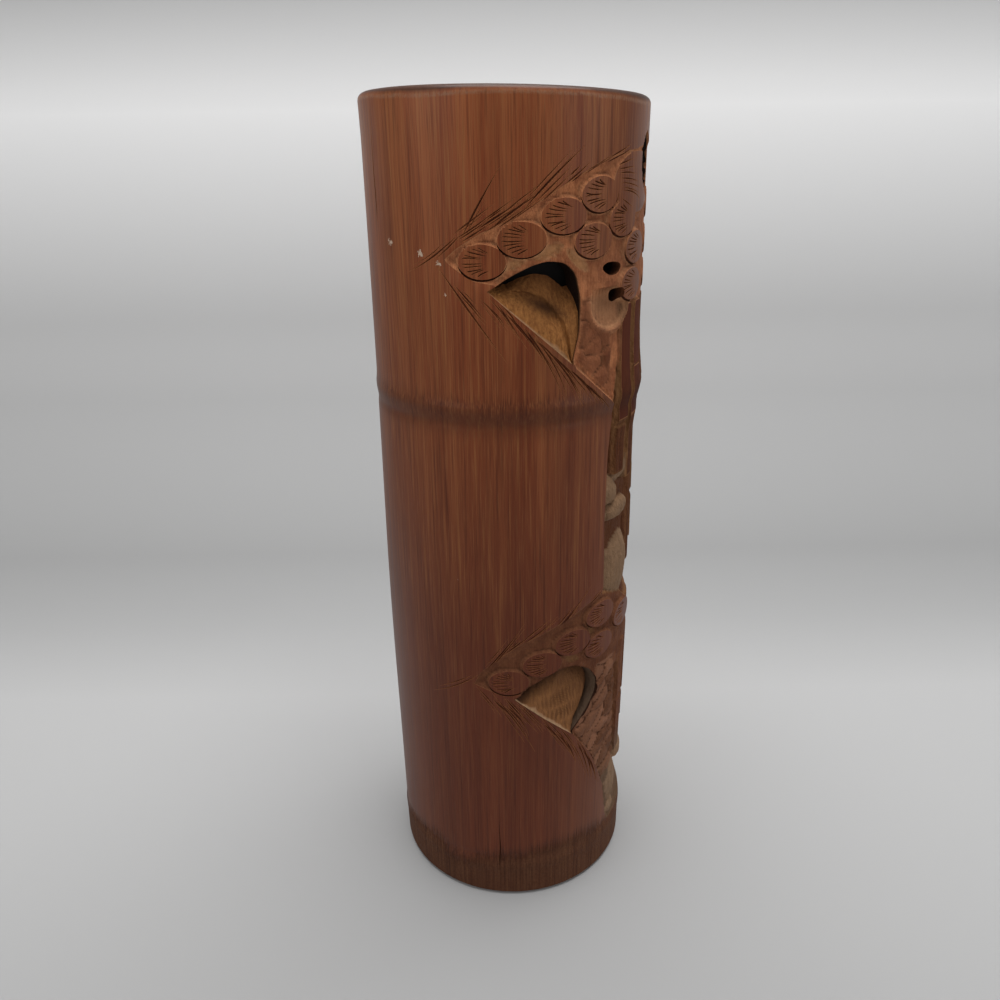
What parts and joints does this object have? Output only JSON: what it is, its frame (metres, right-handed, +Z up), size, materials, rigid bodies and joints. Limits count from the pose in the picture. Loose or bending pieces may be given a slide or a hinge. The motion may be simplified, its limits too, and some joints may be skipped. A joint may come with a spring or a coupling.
{
  "type": "carved bamboo vase",
  "caption": "Tall carved bamboo vase: a culm with pine relief and pierced windows on its front, natural septa inside, and a lift-out metal water liner.",
  "frame": {"origin": "middle of the foot, on the table", "axes": "+Z up along the culm, the carved front faces -Y, +X to the right of the front"},
  "size_m": [0.096, 0.096, 0.3],
  "materials": {
    "bamboo_skin": "red-brown aged bamboo skin with a satin lacquer, cut faces tan",
    "bamboo_inside": "raw bamboo, matt",
    "liner_metal": "dull grey tinned sheet"
  },
  "bodies": {
    "vase": {"culm_wall": "bamboo_skin", "foot_septum": "bamboo_inside", "mid_septum_ring": "bamboo_inside"},
    "liner": {"liner_tube": "liner_metal", "liner_base": "liner_metal"}
  },
  "joints": [
    {"name": "liner_lift", "type": "slide", "parent": "vase", "child": "liner", "axis": [0, 0, 1], "range_m": [0, 0.29]}
  ]
}
